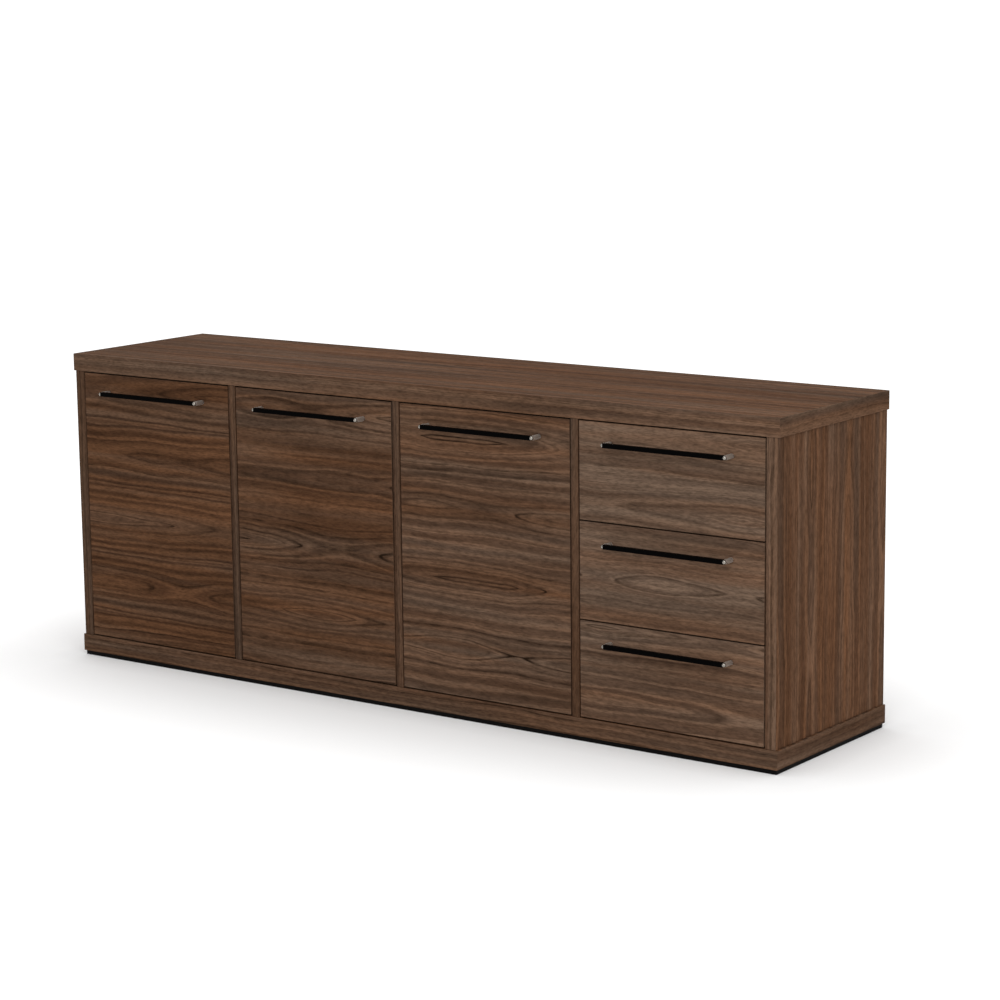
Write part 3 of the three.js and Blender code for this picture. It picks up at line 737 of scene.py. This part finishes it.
def linen_melamine():
    # Melamine paper with a linen print: warm pale grey, satin, with crossed 2 mm threads.
    material, tree, surface = new_material("linen_melamine")
    place = add_node(tree, "ShaderNodeTexCoord").outputs["Object"]
    threads = []
    for scale in ((40, 40, 500), (500, 40, 40), (40, 500, 40)):
        drawn = add_node(tree, "ShaderNodeMapping", {"Vector": place, "Scale": scale}).outputs[0]
        thread = add_node(tree, "ShaderNodeTexNoise", {"Vector": drawn, "Scale": 1, "Detail": 1}).outputs[0]
        threads.append(thread)
    weave = add_node(tree, "ShaderNodeMath", {0: threads[0], 1: threads[1]}, operation="ADD").outputs[0]
    weave = add_node(tree, "ShaderNodeMath", {0: weave, 1: threads[2]}, operation="ADD").outputs[0]
    weave = add_node(tree, "ShaderNodeMapRange", {0: weave, 1: 1, 2: 2}).outputs[0]
    two_tone(tree, surface, weave, "#aa9c89", "#c8bca9", 0.45, 0.6)
    bump = add_node(tree, "ShaderNodeBump", {"Height": weave, "Strength": 0.15, "Distance": 0.0002})
    tree.links.new(bump.outputs[0], surface.inputs["Normal"])
    return material


melamine = linen_melamine()
for number in (1, 2, 3):
    for part in ("left_side", "right_side", "back", "bottom"):
        name = f"drawer_{number}_{part}"
        board = eased_copy(name, BOARD_EASE)
        finish_piece(board, f"{name}_faced", melamine, f"drawer_{number}", "drawer_box", name)

# Drawer fronts: boards veneered as the doors are, with the grain level. Each has a figure of its own and
# closes the front of its drawer box.
for number, seed, middle, warmth, tone_and_shade in (
    (1, 541, 0.506, 0.22, 0.97),
    (2, 82, 0.354, 0.2, 1.0),
    (3, 513, 0.1, 0.24, 0.98),
):
    name = f"drawer_{number}_front"
    front = eased_copy(name, FRONT_EASE, 3)
    front = finish_piece(front, f"{name}_veneered", walnut, f"drawer_{number}", "walnut", name)
    lay_veneer(front, 0, seed, middle=middle, warmth=warmth, tone_and_shade=tone_and_shade, lines=0.45)

# Handles: a square bar in gloss black lacquer on two turned chromed posts, whose polished round ends
# show at the ends of the bar. A screw through the front holds each post from behind.
BAR_WIDTH = 0.010
BAR_EASE = 0.0009
BAR_STEP = 0.0002    # the bar stands this far inside the posts' faces
END_SHOWING = 0.006  # how much of each post shows past the end of the bar
DOME_STEPS = 8
POST_STEPS = 32
HANDLE_SCREW = {"Head radius": 0.0042, "Head height": 0.0022}
HANDLE_FRONTS = {f"door_{number}": f"door_{number}" for number in (1, 2, 3)}
HANDLE_FRONTS.update({f"drawer_{number}": f"drawer_{number}_front" for number in (1, 2, 3)})


def black_lacquer():
    # Stoved black lacquer on a steel bar: a deep black with a clean gloss and a trace of 2 mm peel.
    material, tree, surface = new_material("black_lacquer")
    place = add_node(tree, "ShaderNodeTexCoord").outputs["Object"]
    peel = add_node(tree, "ShaderNodeTexNoise", {"Vector": place, "Scale": 1 / 0.002, "Detail": 2}).outputs[0]
    two_tone(tree, surface, peel, "#020202", "#060505", 0.2, 0.3)
    surface.inputs["Specular IOR Level"].default_value = 0.008
    return material


def chrome_plate(name, dark, light, smooth, dull):
    # Chrome plate on turned steel with a 1.5 mm haze: the polished dome throws back one small bright spot
    # of the studio, and the satin shaft a soft pale sheen that takes some brown from the walnut beside it.
    # The two take different colours of the one plate: the dome's dark one is painted shade that dims its
    # reflection, and the shaft's pale one a painted sheen.
    material, tree, surface = new_material(name)
    place = add_node(tree, "ShaderNodeTexCoord").outputs["Object"]
    haze = add_node(
        tree, "ShaderNodeTexNoise", {"Vector": place, "Scale": 1 / 0.0015, "Detail": 3},
    ).outputs[0]
    two_tone(tree, surface, haze, dark, light, smooth, dull)
    surface.inputs["Metallic"].default_value = 1
    return material


def turned_post(x, low, high):
    """A round post running front to back through the handle's box, with a domed front end."""
    shape = bmesh.new()
    radius = BAR_WIDTH / 2
    level = (low.z + high.z) / 2
    profile = [(0.0, high.y), (radius, high.y)]
    for step in range(DOME_STEPS):
        turn = math.pi / 2 * step / DOME_STEPS
        profile.append((radius * math.cos(turn), low.y + radius * (1 - math.sin(turn))))
    profile.append((0.0, low.y))
    points = [shape.verts.new((x + out, y, level)) for out, y in profile]
    edges = [shape.edges.new(pair) for pair in zip(points, points[1:])]
    bmesh.ops.spin(
        shape, geom=points + edges, cent=(x, 0, level), axis=(0, 1, 0), angle=2 * math.pi,
        steps=POST_STEPS, use_merge=True,
    )
    bmesh.ops.remove_doubles(shape, verts=shape.verts, dist=MERGE_DISTANCE)
    bmesh.ops.recalc_face_normals(shape, faces=shape.faces)
    for face in shape.faces:
        middle = face.calc_center_median().y
        face.smooth = middle < high.y - BOX_TOLERANCE
        face.material_index = 1 if middle < low.y + radius else 2
    return shape


lacquer = black_lacquer()
# Both are the same chrome plate: the dome is given a far darker colour as painted shade, and the shaft a
# paler one as a painted sheen.
shaded_polished_end = chrome_plate("polished_chrome_shaded", "#8a857e", "#98938c", 0.1, 0.18)
sheen_satin_shaft = chrome_plate("satin_chrome_sheen", "#cdc8c2", "#dedad4", 0.5, 0.6)
for body, front in HANDLE_FRONTS.items():
    name = f"{body}_handle"
    low, high = (Vector(corner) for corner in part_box(name))
    post_places = (low.x + BAR_WIDTH / 2, high.x - BAR_WIDTH / 2)
    bar_low = (low.x + END_SHOWING, low.y + BAR_STEP, low.z + BAR_STEP)
    bar_high = (high.x - END_SHOWING, low.y + BAR_WIDTH, high.z - BAR_STEP)
    shape = bmesh.new()
    bar = eased_board(bar_low, bar_high, BAR_EASE, 3)
    posts = [turned_post(x, low, high) for x in post_places]
    for part in (bar, *posts):
        mesh = bpy.data.meshes.new(name)
        part.to_mesh(mesh)
        part.free()
        shape.from_mesh(mesh)
        bpy.data.meshes.remove(mesh)
    handle = finish_piece(shape, f"{name}_chromed", lacquer, body, "handle", name)
    handle.data.materials.append(shaded_polished_end)
    handle.data.materials.append(sheen_satin_shaft)
    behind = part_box(front)[1][1]
    spots = [((x, behind, (low.z + high.z) / 2), (0, 1, 0)) for x in post_places]
    put_on_points(screw, f"{name}_screws", spots, zinc, body, "handle", **HANDLE_SCREW)

# Studio: a white floor that keeps the soft shadow and clears to white away from the part, a surround
# that is seen white and lights a little more from above, a softbox at the front right, and the camera
# at the photograph's place.
FLOOR_REACH = 900
SHADOW_EDGE = 0.01   # from the part's sides to where the floor starts to clear
SHADOW_BEND = 0.08   # to where it clears more slowly
SHADOW_END = 0.7     # to where it is clear
NEAR_GLOW = 0.08
FAR_GLOW = 0.22
SOFTBOX_PLACE = Vector((2.6, -3.0, 2.8))
SOFTBOX_AIM = Vector((0.2, 0, 0.3))
CAMERA_PLACE = (3.68319, -4.91609, 1.54538)
AZIMUTH, ELEVATION, ROLL = math.radians(-35.9885), math.radians(10.2977), math.radians(-0.6264)
FOCAL_LENGTH = 101.216  # in millimetres, on a 36 mm sensor

floor_corners = [(x * FLOOR_REACH, y * FLOOR_REACH, 0) for x, y in ((-1, -1), (1, -1), (1, 1), (-1, 1))]
floor_mesh = bpy.data.meshes.new("studio_floor")
floor_mesh.from_pydata(floor_corners, [], [(0, 1, 2, 3)])
floor = bpy.data.objects.new("studio_floor", floor_mesh)
bpy.context.scene.collection.objects.link(floor)
sweep = bpy.data.materials.new("white_studio_sweep")
sweep.use_nodes = True
tree = sweep.node_tree
tree.nodes.clear()
rays = add_node(tree, "ShaderNodeLightPath").outputs
matt = add_node(tree, "ShaderNodeBsdfDiffuse", {"Color": linear("#f6f6f6")}).outputs[0]
place = add_node(tree, "ShaderNodeTexCoord").outputs["Object"]
footprint = (cad_box[1][0], cad_box[1][1], 0)
away = add_node(tree, "ShaderNodeVectorMath", {0: place}, operation="ABSOLUTE").outputs[0]
away = add_node(tree, "ShaderNodeVectorMath", {0: away, 1: footprint}, operation="SUBTRACT").outputs[0]
away = add_node(tree, "ShaderNodeVectorMath", {0: away, 1: (0, 0, 0)}, operation="MAXIMUM").outputs[0]
away = add_node(tree, "ShaderNodeVectorMath", {0: away}, operation="LENGTH").outputs["Value"]
near = add_node(
    tree, "ShaderNodeMapRange", {0: away, 1: SHADOW_EDGE, 2: SHADOW_BEND, 3: 0.0, 4: NEAR_GLOW},
).outputs[0]
far = add_node(
    tree, "ShaderNodeMapRange", {0: away, 1: SHADOW_BEND, 2: SHADOW_END, 3: 0.0, 4: FAR_GLOW},
).outputs[0]
glow = add_node(tree, "ShaderNodeMath", {0: near, 1: far}, operation="ADD").outputs[0]
seen = add_node(
    tree, "ShaderNodeMath", {0: rays["Is Camera Ray"], 1: rays["Is Glossy Ray"]}, operation="MAXIMUM",
).outputs[0]
seen = add_node(
    tree, "ShaderNodeMath", {0: seen, 1: rays["Is Transmission Ray"]}, operation="MAXIMUM",
).outputs[0]
glow = add_node(tree, "ShaderNodeMath", {0: seen, 1: glow}, operation="MULTIPLY").outputs[0]
glow = add_node(tree, "ShaderNodeEmission", {"Color": (1, 1, 1, 1), "Strength": glow}).outputs[0]
lit = add_node(tree, "ShaderNodeAddShader", {0: matt, 1: glow}).outputs[0]
add_node(tree, "ShaderNodeOutputMaterial", {"Surface": lit})
floor_mesh.materials.append(sweep)

world = bpy.data.worlds.new("white_surround")
world.use_nodes = True
tree = world.node_tree
tree.nodes.clear()
ways = add_node(tree, "ShaderNodeTexCoord").outputs["Generated"]
height = add_node(tree, "ShaderNodeSeparateXYZ", {0: ways}).outputs[2]
bright = add_node(tree, "ShaderNodeMapRange", {0: height, 1: 0.0, 2: 0.8, 3: 0.7, 4: 1.05}).outputs[0]
seen = add_node(tree, "ShaderNodeLightPath").outputs["Is Camera Ray"]
bright = add_node(tree, "ShaderNodeMix", {0: seen, 2: bright, 3: 1.0}, data_type="FLOAT").outputs[0]
surround = add_node(tree, "ShaderNodeBackground", {"Color": (1, 1, 1, 1), "Strength": bright}).outputs[0]
add_node(tree, "ShaderNodeOutputWorld", {"Surface": surround})
bpy.context.scene.world = world
bpy.context.scene.view_settings.view_transform = "Standard"

softbox = bpy.data.lights.new("front_softbox", "AREA")
softbox.shape = "RECTANGLE"
softbox.size, softbox.size_y = 3.0, 2.0
softbox.energy = 50
lamp = bpy.data.objects.new("front_softbox", softbox)
lamp.location = SOFTBOX_PLACE
lamp.rotation_euler = (SOFTBOX_AIM - SOFTBOX_PLACE).to_track_quat("-Z", "Y").to_euler()
bpy.context.scene.collection.objects.link(lamp)

level = Vector((math.cos(AZIMUTH), -math.sin(AZIMUTH), 0))
ahead = Vector((
    math.sin(AZIMUTH) * math.cos(ELEVATION),
    math.cos(AZIMUTH) * math.cos(ELEVATION),
    -math.sin(ELEVATION),
))
upright = level.cross(ahead)
across = math.cos(ROLL) * level + math.sin(ROLL) * upright
up = -math.sin(ROLL) * level + math.cos(ROLL) * upright
lens = bpy.data.cameras.new("camera")
lens.lens = FOCAL_LENGTH
lens.sensor_width = 36
lens.clip_end = 3000
camera = bpy.data.objects.new("camera", lens)
turned = Matrix((across, up, -ahead)).transposed().to_4x4()
camera.matrix_world = Matrix.Translation(CAMERA_PLACE) @ turned
bpy.context.scene.collection.objects.link(camera)
bpy.context.scene.camera = camera
